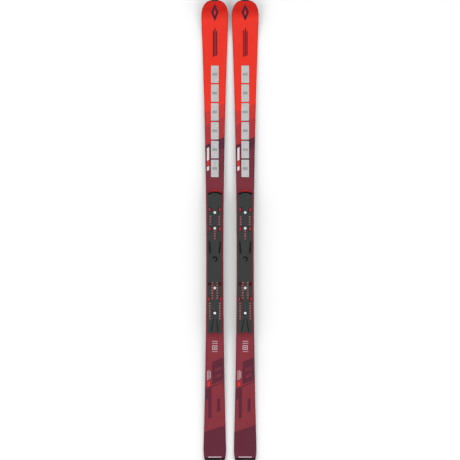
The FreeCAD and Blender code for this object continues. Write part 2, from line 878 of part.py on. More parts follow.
def binding_plate(label, side):
    body = new_body(label, side)
    sketch = new_sketch(body, "XY_Plane", PLATE_BOTTOM)
    add_polygon(sketch, both_sides(rear_points() + front_points(PLATE_LINE, as_dim(0))))
    pad(body, sketch, cell("plate_thickness"))
    top = PLATE_TOP.number
    rim = edge_names(body, lambda edge, spot: spot.z > top - 1e-3)
    chamfer(body, rim, cell("plate_bevel"), cell("plate_bevel"))

    relief = [[(x * sign, y) for x, y in outline] for outline in RELIEF for sign in (-1, 1)]
    sink(body, cell("relief_depth"), polygons=relief)
    centre_mark(body)
    sink(body, cell("slot_depth"), boxes=slot_boxes())
    ring = cell("grommet_width")
    sink(body, cell("grommet_height") + cell("bush_sink"), circles=[(*c, ring) for c in grommet_centres()])
    heads = [(0, row, cell("screw_recess")) for row in PLATE_SCREW_ROWS[:-1]]
    heads.append((0, PLATE_SCREW_ROWS[-1], cell("rear_screw_recess")))
    sink(body, cell("recess_depth"), circles=heads)

    bores = screw_bores()
    bores += [(*centre, cell("bush_width")) for centre in drill_centres()]
    bores += [(*centre, cell("grommet_bore")) for centre in grommet_centres()]
    cut_windows(body, boxes=plug_boxes(), circles=bores)
    return body


def plate_screws(label, side):
    """Four pan screws with a hexagon socket, from the plate's recess down into the core."""
    body = new_body(label, side)
    seat = PLATE_TOP - cell("recess_depth")
    for low, length, width in (
        (SCREW_FOOT, seat - SCREW_FOOT, cell("screw_shank")),
        (seat, cell("screw_head_height"), cell("screw_head")),
    ):
        sketch = new_sketch(body, "XY_Plane", low)
        for row in PLATE_SCREW_ROWS:
            add_circle(sketch, 0, row, width)
        pad(body, sketch, length)
    sketch = new_sketch(body, "XY_Plane", seat + cell("screw_head_height"))
    reach = cell("hex_key") / math.sqrt(3)
    turns = [math.radians(60 * i) for i in range(6)]
    for row in PLATE_SCREW_ROWS:
        add_polygon(sketch, [(reach * math.cos(a), reach * math.sin(a) + row) for a in turns])
    pocket(body, sketch, depth=cell("hex_depth"))
    return body


def ring_group(label, side, base, height, centres, outer, inner):
    """Upright rings that share one height."""
    body = new_body(label, side)
    sketch = new_sketch(body, "XY_Plane", base)
    for centre in centres:
        add_circle(sketch, *centre, outer)
        add_circle(sketch, *centre, inner)
    pad(body, sketch, height)
    return body


def drill_bushes(label, side):
    height = cell("plate_thickness") - cell("bush_sink")
    return ring_group(
        label, side, PLATE_BOTTOM, height, drill_centres(), cell("bush_width"), cell("drill_hole")
    )


def grommets(label, side):
    base = PLATE_TOP - cell("grommet_height") - cell("bush_sink")
    return ring_group(
        label, side, base, cell("grommet_height"), grommet_centres(), cell("grommet_width"), cell("grommet_bore")
    )


def guide_plugs(label, side):
    body = new_body(label, side)
    sketch = new_sketch(body, "XY_Plane", PLATE_BOTTOM)
    for box in plug_boxes():
        add_box(sketch, *box)
    pad(body, sketch, cell("plate_thickness") - cell("plug_sink"))
    return body


# ---------------------------------------------------------------- the pair

pieces = []
for side, name in ((-1, "left"), (1, "right")):
    pieces.append(running_base(f"{name}_base", side))
    pieces.append(lower_glass(f"{name}_lower_glass", side))
    pieces.append(lower_titanal(f"{name}_lower_titanal", side))
    pieces.append(wood_core(f"{name}_wood_core", side))
    pieces.append(tail_filler(f"{name}_tail_filler", side))
    pieces.append(combine("Cut", f"{name}_tip_filler", tip_block, upper_layers, side))
    for sign in (-1, 1):
        where = "outer" if sign == side else "inner"
        pieces.append(combine("Cut", f"{name}_{where}_edge", edge_blanks[sign], base_blank, side))
        pieces.append(combine("Common", f"{name}_{where}_sidewall", cap_inner, wall_blanks[sign], side))
    metal_top = UPPER_STACK - num("upper_metal")
    pieces.append(upper_sheet(f"{name}_upper_titanal", side, UPPER_STACK, metal_top))
    pieces.append(upper_sheet(f"{name}_upper_glass", side, metal_top, num("cap_thickness")))
    pieces.append(combine("Cut", f"{name}_topsheet", cap_outer, cap_inner, side))
    pieces.append(tip_protector(f"{name}_tip_protector", side))
    pieces.append(tail_protector(f"{name}_tail_protector", side))
    pieces.append(module_beds(f"{name}_module_beds", side))
    for count, place in enumerate(module_windows(as_dim(0), as_dim(0)), start=1):
        pieces.append(shock_module(f"{name}_module_{count}", side, place))
    pieces.append(plate_underlay(f"{name}_plate_underlay", side))
    pieces.append(binding_plate(f"{name}_binding_plate", side))
    pieces.append(plate_front_lip(f"{name}_plate_front_lip", side))
    pieces.append(plate_screws(f"{name}_plate_screws", side))
    pieces.append(drill_bushes(f"{name}_drill_bushes", side))
    pieces.append(guide_plugs(f"{name}_guide_plugs", side))
    pieces.append(grommets(f"{name}_grommets", side))

# ---------------------------------------------------------------- checks and export

doc.recompute()
for item in doc.Objects:
    if "Invalid" in item.State or "Error" in item.State:
        raise RuntimeError(f"{item.Label} failed: {item.State}")
for piece in pieces:
    if piece.Shape.isNull() or not piece.Shape.isValid() or piece.Shape.Volume <= 0:
        raise RuntimeError(f"{piece.Label} has no sound shape")
for piece in pieces:
    piece.Shape.exportStep(f"parts/{piece.Label}.step")
    print(f"{piece.Label}: {len(piece.Shape.Solids)} solids, {piece.Shape.Volume / 1000:.2f} cm3")
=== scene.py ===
"""Looks of a pair of race skis with binding plates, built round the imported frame.

Metres, Z up, tips towards +Y. Drawn sizes are in millimetres about a ski's own centre line,
and MM scales them.
"""

import json
import math

import bmesh
import bpy
import numpy as np
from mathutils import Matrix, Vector


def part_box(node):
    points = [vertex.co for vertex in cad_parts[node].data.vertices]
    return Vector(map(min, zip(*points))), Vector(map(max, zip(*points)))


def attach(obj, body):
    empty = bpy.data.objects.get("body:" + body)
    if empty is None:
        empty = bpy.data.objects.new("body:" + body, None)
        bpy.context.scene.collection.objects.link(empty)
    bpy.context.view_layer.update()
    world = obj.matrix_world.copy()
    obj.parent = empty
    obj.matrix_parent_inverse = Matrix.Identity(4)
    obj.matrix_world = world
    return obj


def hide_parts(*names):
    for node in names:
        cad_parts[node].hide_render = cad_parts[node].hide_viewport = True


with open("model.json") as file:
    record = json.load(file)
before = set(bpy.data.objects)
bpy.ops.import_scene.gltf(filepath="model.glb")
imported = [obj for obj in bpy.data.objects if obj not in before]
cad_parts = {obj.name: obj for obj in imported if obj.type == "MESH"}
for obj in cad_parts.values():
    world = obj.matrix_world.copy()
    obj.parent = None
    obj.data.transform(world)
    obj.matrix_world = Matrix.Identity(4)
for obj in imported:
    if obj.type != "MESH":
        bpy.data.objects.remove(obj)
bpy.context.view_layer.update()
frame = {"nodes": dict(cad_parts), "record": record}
NODES = frame["nodes"]
BOX = {name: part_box(name) for name in NODES}
MM = 0.001
SKIS = ("left", "right")
BODY = {"left": "left_ski", "right": "right_ski"}
MODULES = range(1, 7)

# ---------------------------------------------------------------- drawn sizes, in millimetres

# the printed skin
ROW_STEP = 7.0  # between the rows of its grid
NOSE_STEPS = 30
WINDOW_HALF = 15.0  # half the width of a module window
WINDOW_GAP = 0.8  # between a module and the ends of its window
RIM_BOTTOM = 3.7  # how far the skin reaches down the side
SKIN = 0.9
# the shoulder in section: inset from the outline, and drop below the deck
SHOULDER = ((0.0, 3.1), (0.15, 2.72), (0.7, 2.36), (3.7, 0.5), (4.5, 0.12), (5.4, 0.0))
DECK_DROP = 0.05  # a face that drops no more than this is deck, not shoulder
OUTLINE_DROP = 3.0  # an open edge that drops more than this is on the outline
SLANT = 0.45  # rise of the printed steps for each millimetre to the right
HALF_SPAN = 60.0  # each way across the ski, beyond its outline
STEP_REACH = 70.0  # faces this near a printed step may be cut by it
MARK_REACH = 8.0  # and this near a printed block

# shock modules
POLISHED_RIM = 1.4
EYE_SHIFT, EYE_WIDTH, EYE_LENGTH = 4.9, 7.8, 9.8
EYE_FOOT, EYE_SINK = 0.6, 1.15  # above the module's underside, and below its top

# binding plate and its fittings
FACE_DEPTH, RELIEF_DEPTH = 0.5, 1.7  # where the plate's face ends, and where its shallow relief ends
SCREW_SHANK, HEAD_HEIGHT, SOCKET_DEPTH = 3.0, 2.5, 1.5
KEY_SIZE = 5.0  # across the flats of the hexagon socket
BUSH_CREST, BUSH_BEVEL = 1.75, 0.2
THREAD_PITCH, THREAD_DEPTH, THREAD_FROM, THREAD_TO = 0.7, 0.3, 0.5, 4.2
RING_BORE, RING_LIP = 3.3, 0.5
INSERT_RADIUS, INSERT_REACH = 3.25, 6.0
RIB_SHIFTS, RIB_WIDTH, RIB_LENGTH, RIB_HEIGHT, PLUG_SINK = (-4, 0, 4), 4.4, 1.3, 1.0, 0.35
TICK_SHIFT, TICK_WIDTH, TICK_LENGTH = 5.2, 1.8, 0.35
TICK_FOOT, TICK_TOP = 0.05, 0.03  # below and above the plate's face

# ---------------------------------------------------------------- colours


def linear(value):
    """One 0-255 display channel as scene light."""
    share = value / 255
    return share / 12.92 if share <= 0.04045 else ((share + 0.055) / 1.055) ** 2.4


def tint(red, green, blue):
    return (linear(red), linear(green), linear(blue), 1.0)


def grey(share):
    return (share, share, share, 1.0)


def scaled(colour, factor):
    return tuple(min(1.0, channel * factor) for channel in colour[:3]) + (1.0,)


def painted_shoulder_shade(colour):
    """Painted shade for the bevelled shoulder: the zone's colour made darker and more saturated, as the
    sloped flank looks in shade.
    """
    return (colour[0] * 0.84, colour[1] * 0.36, colour[2] * 0.5, 1.0)


BRIGHT_RED = tint(238, 56, 42)
NOSE_RED = tint(204, 26, 12)
MID_RED = tint(206, 58, 54)
CRIMSON = tint(178, 56, 60)
DARK_PLUM = tint(96, 42, 58)
PLUM = tint(118, 50, 62)
BURGUNDY = tint(138, 54, 64)
TAIL_PLUM = tint(102, 44, 60)
SHADOW_PLUM = tint(98, 42, 58)
INK = tint(74, 30, 48)
WHITE = tint(226, 212, 214)
PRINT_RED = tint(224, 54, 42)
PALE = tint(196, 176, 182)

# ---------------------------------------------------------------- node materials

COAT_ROUGHNESS = 0.12
WORN_EDGE = (0.51, 0.56)  # pointiness from sound to worn
MOULD_GRAIN, MOULD_DEPTH = 1400, 0.00005  # features to the metre, and metres
COLOUR_A, COLOUR_B, MIXED_COLOUR = 6, 7, 2  # a Mix node's sockets for colours, by number


class Shader:
    """A Principled material and short calls that add nodes to it."""

    def __init__(self, name, colour, roughness, metallic=0.0, coat=0.0, specular=0.5):
        self.material = bpy.data.materials.new(name)
        self.material.use_nodes = True
        self.material.diffuse_color = colour
        self.tree = self.material.node_tree
        self.main = self.tree.nodes["Principled BSDF"]
        self.set(self.main, "Base Color", colour)
        self.set(self.main, "Roughness", roughness)
        self.set(self.main, "Metallic", metallic)
        self.set(self.main, "Coat Weight", coat)
        self.set(self.main, "Coat Roughness", COAT_ROUGHNESS)
        self.set(self.main, "Specular IOR Level", specular)
        self.place = self.tree.nodes.new("ShaderNodeTexCoord").outputs["Object"]

    @staticmethod
    def set(node, socket, value):
        node.inputs[socket].default_value = value

    def link(self, source, target):
        self.tree.links.new(source, target)

    def mapped(self, scale):
        node = self.tree.nodes.new("ShaderNodeMapping")
        self.set(node, "Scale", scale)
        self.link(self.place, node.inputs["Vector"])
        return node.outputs["Vector"]

    def noise(self, scale, detail=4.0, stretch=(1, 1, 1), rough=0.55):
        """Noise with about `scale` features to the metre."""
        node = self.tree.nodes.new("ShaderNodeTexNoise")
        self.set(node, "Scale", scale)
        self.set(node, "Detail", detail)
        self.set(node, "Roughness", rough)
        self.link(self.mapped(stretch), node.inputs["Vector"])
        return node.outputs["Fac"]

    def cells(self, scale):
        node = self.tree.nodes.new("ShaderNodeTexVoronoi")
        self.set(node, "Scale", scale)
        self.link(self.place, node.inputs["Vector"])
        return node.outputs["Distance"]

    def stripes(self, pitch, axis, distortion=0.0):
        """Ridges a pitch apart, in metres, that repeat along an axis."""
        node = self.tree.nodes.new("ShaderNodeTexWave")
        node.bands_direction = axis
        self.set(node, "Scale", math.pi / 10 / pitch)
        self.set(node, "Distortion", distortion)
        self.link(self.place, node.inputs["Vector"])
        return node.outputs["Fac"]

    def ramp(self, source, low, high, at=(0.0, 1.0)):
        node = self.tree.nodes.new("ShaderNodeValToRGB")
        for element, position, colour in zip(node.color_ramp.elements, at, (low, high)):
            element.position = position
            element.color = colour
        self.link(source, node.inputs["Fac"])
        return node.outputs["Color"]

    def mix(self, factor, first, second, blend="MIX"):
        node = self.tree.nodes.new("ShaderNodeMix")
        node.data_type = "RGBA"
        node.blend_type = blend
        colours = {"Factor": factor, COLOUR_A: first, COLOUR_B: second}
        for socket, value in colours.items():
            if isinstance(value, (float, tuple)):
                self.set(node, socket, value)
            else:
                self.link(value, node.inputs[socket])
        return node.outputs[MIXED_COLOUR]

    def along(self, start, stop):
        """0 to 1 between two stations along the ski, in millimetres."""
        split = self.tree.nodes.new("ShaderNodeSeparateXYZ")
        self.link(self.place, split.inputs[0])
        node = self.tree.nodes.new("ShaderNodeMapRange")
        self.set(node, "From Min", start * MM)
        self.set(node, "From Max", stop * MM)
        self.link(split.outputs["Y"], node.inputs["Value"])
        return node.outputs["Result"]

    def edge_wear(self):
        """1 on worn convex edges, 0 elsewhere."""
        geometry = self.tree.nodes.new("ShaderNodeNewGeometry")
        return self.ramp(geometry.outputs["Pointiness"], grey(0), grey(1), WORN_EDGE)

    def colour(self, source):
        self.link(source, self.main.inputs["Base Color"])

    def roughness(self, source, low, high):
        node = self.tree.nodes.new("ShaderNodeMapRange")
        self.set(node, "To Min", low)
        self.set(node, "To Max", high)
        self.link(source, node.inputs["Value"])
        self.link(node.outputs["Result"], self.main.inputs["Roughness"])

    def bump(self, *layers):
        """Height maps as (source, depth in metres), one on top of the other."""
        normal = None
        for source, depth in layers:
            node = self.tree.nodes.new("ShaderNodeBump")
            self.set(node, "Strength", 1.0)
            self.set(node, "Distance", depth)
            self.link(source, node.inputs["Height"])
            if normal:
                self.link(normal, node.inputs["Normal"])
            normal = node.outputs["Normal"]
        self.link(normal, self.main.inputs["Normal"])


def lacquer(name, colour, fade=None):
    """Printed skin under clear lacquer: faint mottling, fine grain and orange peel.

    A fade is (colour, from, to), in millimetres along the ski.
    """
    shader = Shader(name, colour, 0.38, coat=0.06, specular=0.12)
    ground = colour
    if fade:
        far_colour, start, stop = fade
        ground = shader.mix(shader.along(start, stop), colour, far_colour)
    clouds = shader.ramp(shader.noise(45, 5), grey(0.93), grey(1), (0.35, 0.65))
    grain = shader.ramp(shader.noise(2600, 2), grey(0.94), grey(1), (0.4, 0.6))
    printed = shader.mix(1.0, shader.mix(1.0, ground, clouds, "MULTIPLY"), grain, "MULTIPLY")
    shader.colour(printed)
    hairlines = shader.noise(900, 3, stretch=(1, 0.03, 1))
    shader.roughness(hairlines, 0.3, 0.46)
    shader.bump((shader.noise(160, 2), 0.00006), (hairlines, 0.00001))
    return shader.material


def brushed(name, colour, roughness, stretch, metallic=1.0):
    """Metal brushed along its stretched direction, with fine scratches and faint stains."""
    shader = Shader(name, colour, roughness, metallic=metallic)
    lines = shader.noise(1800, 6, stretch=stretch, rough=0.7)
    stains = shader.ramp(shader.noise(60, 4), scaled(colour, 0.9), colour, (0.3, 0.6))
    shader.colour(shader.mix(1.0, stains, shader.ramp(lines, grey(0.82), grey(1)), "MULTIPLY"))
    shader.roughness(lines, roughness - 0.08, roughness + 0.12)
    shader.bump((lines, 0.00003))
    return shader.material


def moulded(name, colour, roughness, wear=1.35, specular=0.4):
    """Moulded plastic or rubber: spark-eroded grain, flow marks, and paler worn edges."""
    shader = Shader(name, colour, roughness, specular=specular)
    flow = shader.ramp(shader.noise(35, 3), scaled(colour, 0.92), scaled(colour, 1.06), (0.35, 0.65))
    shader.colour(shader.mix(shader.edge_wear(), flow, scaled(colour, wear)))
    speckle = shader.cells(MOULD_GRAIN)
    shader.roughness(shader.noise(500, 3), roughness - 0.06, roughness + 0.08)
    shader.bump((speckle, MOULD_DEPTH), (shader.noise(MOULD_GRAIN / 3, 3), MOULD_DEPTH))
    return shader.material


def running_base_material():
    """Sintered base with a linear stone grind and a cross structure."""
    dark = tint(26, 26, 30)
    shader = Shader("running_base", dark, 0.42, specular=0.4)
    grind = shader.stripes(0.0009, "X", 0.4)
    flecks = shader.ramp(shader.noise(700, 3, stretch=(1, 0.08, 1)), tint(20, 20, 24), tint(42, 42, 48))
    shader.colour(shader.mix(0.25, flecks, shader.ramp(grind, dark, tint(60, 60, 66))))
    shader.roughness(shader.noise(240, 4, stretch=(1, 0.1, 1)), 0.34, 0.55)
    shader.bump((grind, 0.00006), (shader.noise(2200, 3, stretch=(1, 0.05, 1)), 0.00002))
    return shader.material


def sidewall_material():
    """Milled sidewall: long tool marks and a slight sheen."""
    dark = tint(30, 29, 31)
    shader = Shader("sidewall", dark, 0.4, specular=0.45)
    marks = shader.noise(900, 4, stretch=(1, 0.02, 1))
    shader.colour(shader.ramp(marks, scaled(dark, 0.8), scaled(dark, 1.5), (0.3, 0.75)))
    shader.roughness(marks, 0.32, 0.52)
    shader.bump((marks, 0.00004))
    return shader.material


def wood_material():
    """Long grain with strips glued side by side."""
    shader = Shader("wood_core", tint(196, 160, 112), 0.6)
    grain = shader.noise(500, 6, stretch=(1, 0.03, 1))
    strips = shader.ramp(shader.stripes(0.012, "X"), tint(178, 138, 92), tint(208, 174, 126))
    shader.colour(shader.mix(0.5, strips, shader.ramp(grain, tint(150, 112, 72), tint(220, 188, 140))))
    shader.bump((grain, 0.0001))
    return shader.material


def glass_material():
    """Woven glass laminate."""
    shader = Shader("glass_laminate", tint(186, 180, 150), 0.35)
    weave = shader.mix(0.5, shader.stripes(0.0016, "X"), shader.stripes(0.0016, "Y"))
    shader.colour(shader.ramp(weave, tint(150, 144, 116), tint(206, 200, 172)))
    shader.bump((weave, 0.00008))
    return shader.material


# how brushed grain is stretched
ALONG = (1, 0.012, 1)
ACROSS = (0.012, 1, 1)
TURNED = (1, 1, 1)
MATERIALS = {
    "running_base": running_base_material(),
    "glass_laminate": glass_material(),
    "metal_sheet": brushed("metal_sheet", tint(178, 180, 184), 0.34, ALONG),
    "wood_core": wood_material(),
    "end_filler": moulded("end_filler", tint(40, 40, 42), 0.5),
    "steel_edge": brushed("steel_edge", tint(176, 178, 182), 0.26, ALONG),
    "sidewall": sidewall_material(),
    "topsheet": lacquer("topsheet", BURGUNDY),
    "tip_clip": moulded("tip_clip", tint(30, 24, 25), 0.5, specular=0.15),
    "tail_guard": moulded("tail_guard", tint(8, 10, 9), 0.6, specular=0.1),
    "elastomer": moulded("elastomer", tint(30, 30, 31), 0.7),
    "red_elastomer": moulded("red_elastomer", tint(208, 26, 32), 0.55, wear=1.1, specular=0.2),
    "plate": moulded("plate", tint(57, 58, 58), 0.55, wear=1.0, specular=0.12),
    # near black: the rubber's own colour, and also painted shade where these pieces stand for the
    # shadowed countersunk rings and the plate's front wall
    "black_rubber": moulded("black_rubber", tint(12, 12, 13), 0.66, wear=1.3, specular=0.1),
    # near white with almost no metal: a bright zinc head's light colour raised to white as a painted
    # reflection of the studio glare
    "bright_screw": brushed("bright_screw", tint(254, 254, 254), 0.3, TURNED, metallic=0.05),
    "red_bush": moulded("red_bush", tint(222, 122, 128), 0.42, wear=1.15, specular=0.3),
    "red_plug": moulded("red_plug", tint(186, 36, 56), 0.45, wear=1.2, specular=0.25),
    "module_steel": brushed("module_steel", tint(206, 207, 206), 0.42, ACROSS, metallic=0.15),
}
MODULE_RIM = brushed("module_rim", tint(214, 238, 238), 0.3, TURNED, metallic=0.2)
MODULE_EYE = moulded("module_eye", tint(130, 131, 133), 0.5)
# painted shade: floors of the plate's sunken relief and recesses, darker than the plate's own grey
RECESS_SHADE_BLACK = moulded("recess_shade_black", tint(12, 12, 13), 0.65, specular=0.1)
RECESS_SHADE_GREY = moulded("recess_shade_grey", tint(31, 30, 28), 0.6, specular=0.1)
# red, darkened as painted shade at the bottom of the deep bore
RING_RED_SHADED = moulded("ring_red_shaded", tint(132, 16, 38), 0.5, specular=0.2)
SCALE_INK = lacquer("scale_ink", tint(150, 150, 150))

SLOT_OF = {part["node"]: part["material_slot"] for part in frame["record"]["subparts"]}
for node_name, node in NODES.items():
    node.data.materials.clear()
    node.data.materials.append(MATERIALS[SLOT_OF[node_name]])

# ---------------------------------------------------------------- meshes

SHADING_ANGLE = 28  # degrees between faces that still shade as one
SKIN_ANGLE = 35
ROUNDING_ANGLE = 30  # edges sharper than this are rounded
BEVEL_STEPS = 3
FLAT_ANGLE = 0.5  # faces that meet at less than this are joined up
WELD_DISTANCE, CUT_DISTANCE = 1e-6, 1e-7
UPWARD = 0.9  # a normal that rises more than this belongs to a level face


def unique(items):
    """Each item once, in a settled order."""
    return list(dict.fromkeys(items))


def sharpen(bm, degrees):
    """Smooth shading that breaks at edges sharper than an angle."""
    limit = math.radians(degrees)
    for face in bm.faces:
        face.smooth = True
    for edge in bm.edges:
        edge.smooth = len(edge.link_faces) == 2 and edge.calc_face_angle(0) < limit


def finish_piece(bm, name, materials, body, replaced=(), degrees=SHADING_ANGLE):
    """A shown piece from a bmesh; it rides on a body and may stand for CAD nodes."""
    sharpen(bm, degrees)
    mesh = bpy.data.meshes.new(name)
    bm.to_mesh(mesh)
    bm.free()
    for material in materials:
        mesh.materials.append(material)
    piece = bpy.data.objects.new(name, mesh)
    bpy.context.scene.collection.objects.link(piece)
    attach(piece, body)
    if replaced:
        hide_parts(*replaced)
    return piece


def welded(node_name, flat=False):
    """The CAD node's mesh with its seams closed; flat faces may be joined up."""
    bm = bmesh.new()
    bm.from_mesh(NODES[node_name].data)
    bmesh.ops.remove_doubles(bm, verts=bm.verts, dist=WELD_DISTANCE)
    if flat:
        limit = math.radians(FLAT_ANGLE)
        bmesh.ops.dissolve_limit(bm, angle_limit=limit, verts=bm.verts, edges=bm.edges)
    return bm


def rounded(bm, edges, width):
    """Rounds edges by a width in millimetres."""
    bmesh.ops.bevel(
        bm,
        geom=edges,
        offset=width * MM,
        segments=BEVEL_STEPS,
        profile=0.5,
        affect="EDGES",
        clamp_overlap=True,
    )


def soften(bm, width):
    """Rounds every sharp edge by a width in millimetres."""
    limit = math.radians(ROUNDING_ANGLE)
    closed = [edge for edge in bm.edges if len(edge.link_faces) == 2]
    rounded(bm, [edge for edge in closed if edge.calc_face_angle(0) > limit], width)


def split_along(bm, corners, near=None):
    """Cuts the faces near a convex outline, or a line of two points, along its sides, seen from above."""
    count = len(corners)
    for i in range(count):
        start, end = corners[i], corners[(i + 1) % count]
        across = Vector((end[1] - start[1], start[0] - end[0], 0))
        faces = [face for face in bm.faces if near is None or near(face.calc_center_median())]
        geometry = unique(vert for face in faces for vert in face.verts)
        geometry += unique(edge for face in faces for edge in face.edges) + faces
        bmesh.ops.bisect_plane(
            bm,
            geom=geometry,
            dist=CUT_DISTANCE,
            plane_co=Vector((*start, 0)),
            plane_no=across.normalized(),
        )


def inside(corners, spot):
    """True within a convex outline given anticlockwise."""
    count = len(corners)
    for i in range(count):
        (x0, y0), (x1, y1) = corners[i], corners[(i + 1) % count]
        if (x1 - x0) * (spot.y - y0) - (y1 - y0) * (spot.x - x0) < 0:
            return False
    return True


def islands(node_name):
    """Centre and lowest and highest corner of each separate solid of a CAD node."""
    bm = welded(node_name)
    seen, boxes = set(), []
    for start in bm.verts:
        if start in seen:
            continue
        group, waiting = set(), [start]
        while waiting:
            vert = waiting.pop()
            if vert not in group:
                group.add(vert)
                waiting += [edge.other_vert(vert) for edge in vert.link_edges]
        seen |= group
        low = Vector([min(vert.co[i] for vert in group) for i in range(3)])
        high = Vector([max(vert.co[i] for vert in group) for i in range(3)])
        boxes.append(((low + high) / 2, low, high))
    bm.free()
    return boxes


def hexagon(size):
    """Radius in each direction of a hexagon, a given size across its flats."""
    return lambda angle: size / 2 / math.cos((angle % (math.pi / 3)) - math.pi / 6)


def lathe(bm, centre, profile, steps=32, closed=False):
    """Turns (radius, height) pairs, in millimetres, about an upright axis.

    A radius may be a function of the angle.
    """
    rings = []
    for radius, height in profile:
        ring = []
        for i in range(steps):
            angle = 2 * math.pi * i / steps
            reach = (radius(angle) if callable(radius) else radius) * MM
            spot = Vector((reach * math.cos(angle), reach * math.sin(angle), height * MM))
            ring.append(bm.verts.new(centre + spot))
        rings.append(ring)
    pairs = list(zip(rings, rings[1:]))
    if closed:
        pairs.append((rings[-1], rings[0]))
    for low, high in pairs:
        for i in range(steps):
            j = (i + 1) % steps
            bm.faces.new((low[i], low[j], high[j], high[i]))
    if not closed:
        bm.faces.new(rings[-1])
        bm.faces.new(reversed(rings[0]))


def bar(bm, corners, low, high, bevel=0.0):
    """An upright block on an outline in metres, its edges rounded by a bevel in millimetres."""
    base = [bm.verts.new((x, y, low)) for x, y in corners]
    top = [bm.verts.new((x, y, high)) for x, y in corners]
    count = len(corners)
    faces = [bm.faces.new(top), bm.faces.new(reversed(base))]
    for i in range(count):
        j = (i + 1) % count
        faces.append(bm.faces.new((base[i], base[j], top[j], top[i])))
    if bevel:
        rounded(bm, unique(edge for face in faces for edge in face.edges), bevel)


def rectangle(x, y, width, length):
    """Corners of a rectangle about a centre, anticlockwise."""
    return [
        (x - width / 2, y - length / 2),
        (x + width / 2, y - length / 2),
        (x + width / 2, y + length / 2),
        (x - width / 2, y + length / 2),
    ]


# ---------------------------------------------------------------- curves read from the frame

SAME = 1e-6  # two stations this near are one, in metres
AT_NOTCH = 1e-5  # and a point this near the front or the notch's side is on it
LONG_RUN, RUN_PARTS = 0.09, 4  # straight runs of the deck longer than this are divided
LEVEL_SIDEWAYS, LEVEL_UP = 0.02, 0.5  # how a deck face's normal lies


def smooth_line(stations, values):
    """Akima's curve through points: it keeps straight runs straight and round runs round."""
    x, y = np.array(stations, float), np.array(values, float)
    slope = np.diff(y) / np.diff(x)
    first, last = 2 * slope[0] - slope[1], 2 * slope[-1] - slope[-2]
    slope = np.concatenate([[2 * first - slope[0], first], slope, [last, 2 * last - slope[-1]]])
    change = np.abs(np.diff(slope))
    before, after = change[:-2], change[2:]
    total = before + after
    even = total < 1e-9
    weight = np.where(even, 1, total)
    middle, blend = (slope[1:-2] + slope[2:-1]) / 2, after * slope[1:-2] + before * slope[2:-1]
    tangent = np.where(even, middle, blend / weight)

    def value(station):
        if station > x[-1]:
            return float(y[-1] + tangent[-1] * (station - x[-1]))
        i = int(np.clip(np.searchsorted(x, station) - 1, 0, len(x) - 2))
        step = x[i + 1] - x[i]
        t = (station - x[i]) / step
        return float(
            (2 * t**3 - 3 * t**2 + 1) * y[i]
            + (t**3 - 2 * t**2 + t) * step * tangent[i]
            + (3 * t**2 - 2 * t**3) * y[i + 1]
            + (t**3 - t**2) * step * tangent[i + 1]
        )

    return value


def divided(points):
    """Adds points on long straight runs, so that they stay straight."""
    result = [points[0]]
    for start, end in zip(points, points[1:]):
        parts = RUN_PARTS if end[0] - start[0] > LONG_RUN else 1
        for i in range(1, parts + 1):
            result.append(tuple(a + (b - a) * i / parts for a, b in zip(start, end)))
    return result


def centre_of(ski):
    low, high = BOX[f"{ski}_topsheet"]
    return (low.x + high.x) / 2


def outline_points(ski):
    """The outline on the +X side from tail to tip, read from a layer that reaches it."""
    centre = centre_of(ski)
    layer = NODES[f"{ski}_lower_titanal"].data
    spots = {(round(vert.co.x - centre, 6), round(vert.co.y, 6)) for vert in layer.vertices}
    foremost = max(y for _, y in spots) - AT_NOTCH
    notch = min(x for x, y in spots if y > foremost and x > 0)
    side = [(x, y) for x, y in spots if x > notch + AT_NOTCH or (x > 0 and y > foremost)]
    return sorted(side, key=lambda spot: spot[1])


def deck_line(ski):
    """Height of the deck along the ski, from the level faces of its CAD mesh."""
    mesh = NODES[f"{ski}_topsheet"].data
    heights = {}
    for face in mesh.polygons:
        if face.normal.z > LEVEL_UP and abs(face.normal.x) < LEVEL_SIDEWAYS:
            for index in face.vertices:
                spot = mesh.vertices[index].co
                heights[round(spot.y, 4)] = spot.z
    return smooth_line(*zip(*divided(sorted(heights.items()))))


# ---------------------------------------------------------------- the printed skin


# Zones from the tip to the tail. Each has the slanting step that ends it, as its y at the centre line
# and its rise for each millimetre across, then the deck's colour, and a fade. Nothing ends the last.
ZONES = [
    ("bright", (482, SLANT), BRIGHT_RED, (NOSE_RED, 830, 868)),
    ("mid", (429, SLANT), MID_RED, None),
    ("crimson", (351, SLANT), CRIMSON, None),
    ("dark_plum", (309, SLANT), DARK_PLUM, None),
    ("plum", (236, SLANT), PLUM, None),
    ("burgundy", (-784, 0.33), BURGUNDY, (PLUM, 120, 236)),
    ("tail_plum", (-2000, 0.0), TAIL_PLUM, None),
]


def slanted(left, right, rear, front, slant=SLANT):
    """A four-sided block whose ends slant; rear and front are its heights on the centre line."""
    return [
        (left, rear + left * slant),
        (right, rear + right * slant),
        (right, front + right * slant),
        (left, front + left * slant),
    ]


def level(left, right, rear, front):
    return slanted(left, right, rear, front, 0)


def upright_rhombus(middle, half_width, half_length):
    rear, front = middle - half_length, middle + half_length
    return [(0, rear), (half_width, middle), (0, front), (-half_width, middle)]


